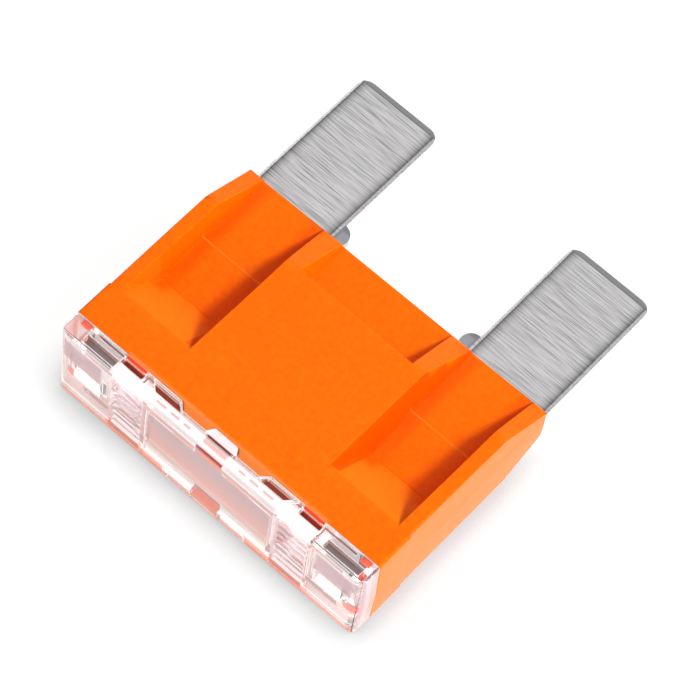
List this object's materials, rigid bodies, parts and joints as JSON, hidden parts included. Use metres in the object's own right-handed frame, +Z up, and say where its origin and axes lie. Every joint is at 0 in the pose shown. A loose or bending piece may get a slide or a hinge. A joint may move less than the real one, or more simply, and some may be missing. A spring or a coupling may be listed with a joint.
{
  "type": "automotive blade fuse",
  "caption": "Large plug-in blade fuse: moulded orange housing, clear snap-in cover and a one-piece stamped element with two flat coined blades.",
  "frame": {"origin": "on the surface that the fuse lies on, under the middle of its box", "axes": "+X across the fuse, +Y out along the blades, +Z up through its thickness"},
  "size_m": [0.0292, 0.0332, 0.0089],
  "materials": {
    "orange_moulding": "fine moulded grain, slightly glossy",
    "clear_cover": "clear polished moulding",
    "zinc_sheet": "zinc alloy sheet, brushed across, coined edges"
  },
  "bodies": {
    "root": {"housing": "orange_moulding", "cover": "clear_cover", "fuse_element": "zinc_sheet"}
  },
  "joints": []
}
